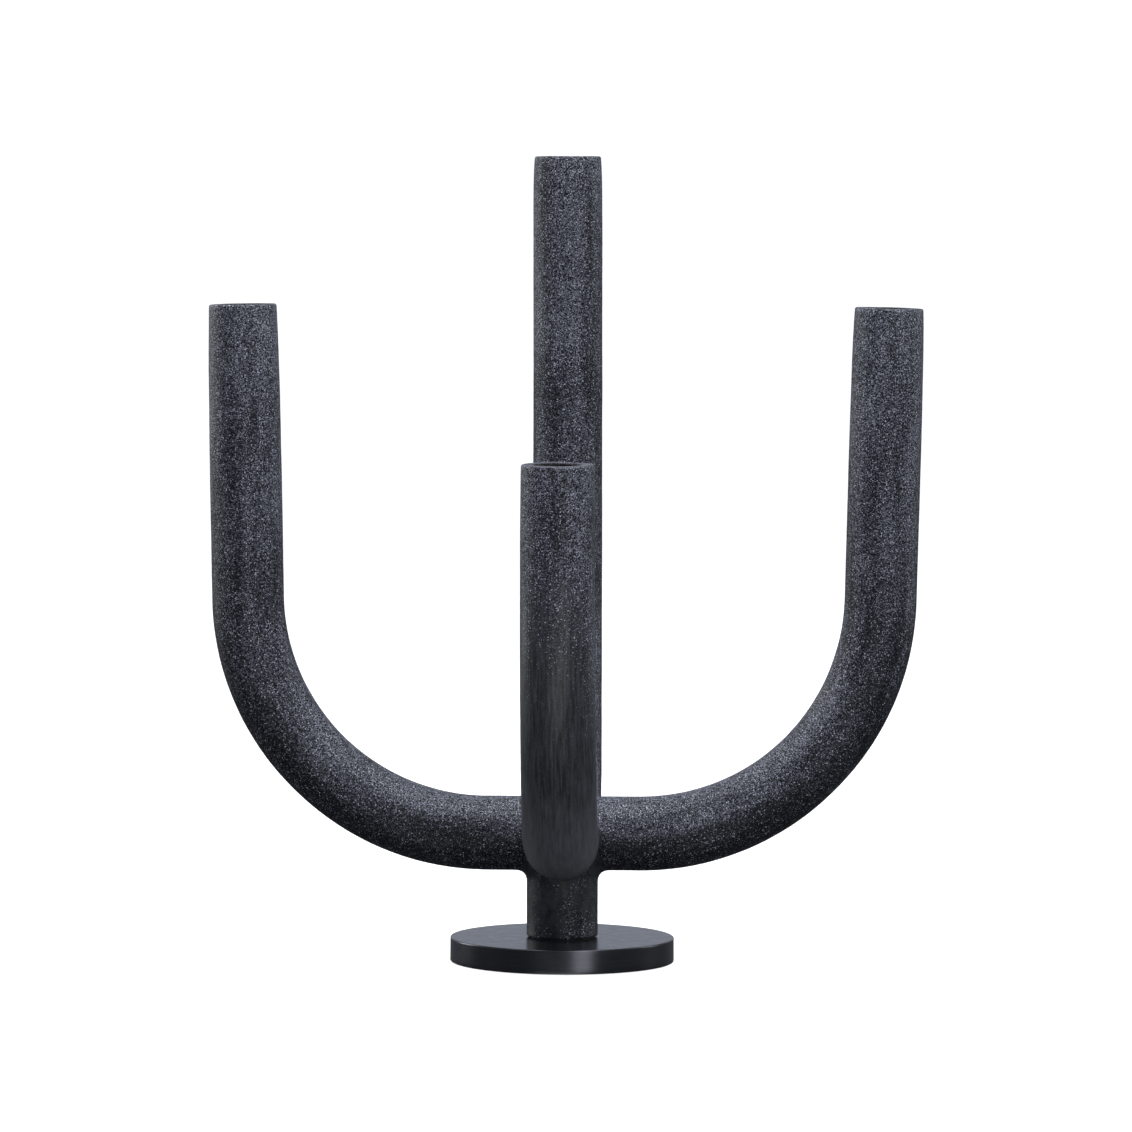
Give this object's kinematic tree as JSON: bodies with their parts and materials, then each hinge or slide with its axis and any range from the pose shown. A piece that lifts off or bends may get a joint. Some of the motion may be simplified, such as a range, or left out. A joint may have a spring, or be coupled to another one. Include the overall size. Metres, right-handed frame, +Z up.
{
  "type": "tabletop candelabra",
  "caption": "Tabletop candelabra: tubular black stoneware arms at stepped heights curve up from a short central stem on a round blackened steel base.",
  "frame": {"origin": "middle of the underside of the base, on the stem's axis, where the object meets the table", "axes": "+Z up along the stem; the shortest arm points to -Y (the front), the tallest to +Y, and the two equal arms to -X (left) and +X (right)"},
  "size_m": [0.384, 0.3841, 0.4326],
  "materials": {
    "clay": "unglazed black stoneware, dry matte, with fine pale grog specks",
    "clay_slip": "unglazed black stoneware, smoothed with slip",
    "blackened_steel": "turned and blackened, satin",
    "zinc": "bright zinc plated",
    "brass": "turned, dull",
    "rubber": "matte black",
    "felt": "dense pressed wool felt, charcoal"
  },
  "bodies": {
    "root": {"base_disc": "blackened_steel", "base_pad": "felt", "base_screw": "zinc", "flat_washer": "zinc", "spring_washer": "zinc", "stem_anchor": "brass", "stem_gasket": "rubber", "stem_tube": "clay", "joint_collar": "clay", "arm_front": "clay", "arm_left": "clay", "arm_right": "clay", "arm_back": "clay", "candle_stop_front": "clay_slip", "candle_stop_left": "clay_slip", "candle_stop_right": "clay_slip", "candle_stop_back": "clay_slip"}
  },
  "joints": []
}
